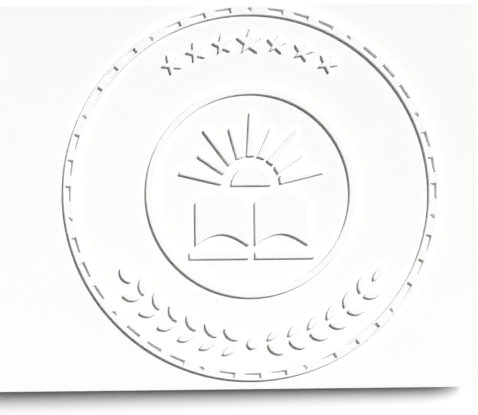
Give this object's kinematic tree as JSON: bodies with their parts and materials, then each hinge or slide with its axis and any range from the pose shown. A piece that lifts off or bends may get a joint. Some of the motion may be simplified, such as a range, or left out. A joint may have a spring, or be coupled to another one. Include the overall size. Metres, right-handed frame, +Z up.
{
  "type": "desk seal embosser",
  "caption": "Cast desk press that embosses a round seal into card between two dies, worked by a hand lever and cam, with an embossed card.",
  "frame": {"origin": "on the desk, straight under the axis of the dies", "axes": "+X out of the throat towards the card, +Y to the left seen from behind the lever, +Z up"},
  "size_m": [0.2318, 0.1043, 0.2161],
  "materials": {
    "enamel": "black stoved enamel over a fine cast texture",
    "rubber": "matt black rubber",
    "black_steel": "chemically blackened steel",
    "bronze": "turned bronze, oiled",
    "ground_steel": "ground bright steel",
    "nickel": "nickel plate on turned steel",
    "spring_steel": "oiled spring wire",
    "brass": "turned and lacquered brass",
    "counter_resin": "ivory counter-die resin",
    "grip_black": "polished black phenolic",
    "card_white": "smooth white uncoated card"
  },
  "bodies": {
    "frame": {"base_plate": "enamel", "rubber_sole": "rubber", "frame_bolts": "black_steel", "frame_casting": "enamel", "head_bush": "bronze", "guide_screw": "nickel", "return_spring": "spring_steel", "lower_holder": "nickel", "lower_grubs": "black_steel", "anvil_screw": "black_steel", "male_die": "counter_resin", "pivot_washers": "brass", "pivot_pin": "ground_steel", "pivot_clip": "black_steel"},
    "ram": {"ram": "ground_steel", "ram_cap": "ground_steel", "buffer_washer": "rubber", "upper_holder": "nickel", "upper_grubs": "black_steel", "female_die": "brass"},
    "lever": {"lever": "nickel", "lever_bushes": "bronze", "grip": "grip_black", "ferrule": "brass", "grip_screw": "brass"},
    "stop": {"stop_rod": "ground_steel", "stop_plate": "brass"},
    "thumb": {"thumb_screw": "brass"},
    "card": {"card": "card_white"}
  },
  "joints": [
    {"name": "lever_hinge", "type": "hinge", "parent": "frame", "child": "lever", "pos_m": [0.009, 0, 0.11497], "axis": [0, -1, 0], "range_deg": [0, 38], "stiffness_Nm_per_rad": 0.68, "springref_deg": -38.22},
    {"name": "ram_slide", "type": "slide", "parent": "frame", "child": "ram", "axis": [0, 0, -1], "range_m": [0, 0.006], "deforming": ["return_spring"]},
    {"name": "stop_slide", "type": "slide", "parent": "frame", "child": "stop", "axis": [1, 0, 0], "range_m": [-0.01, 0.01]},
    {"name": "thumb_turn", "type": "hinge", "parent": "frame", "child": "thumb", "pos_m": [-0.078, -0.017, 0.032], "axis": [0, -1, 0], "continuous": true},
    {"name": "card_lift", "type": "slide", "parent": "frame", "child": "card", "axis": [0, 0, 1], "range_m": [0, 0.08]}
  ],
  "couplings": [
    {"joint": "ram_slide", "follows": "lever_hinge", "m_per_rad": 0.009}
  ]
}
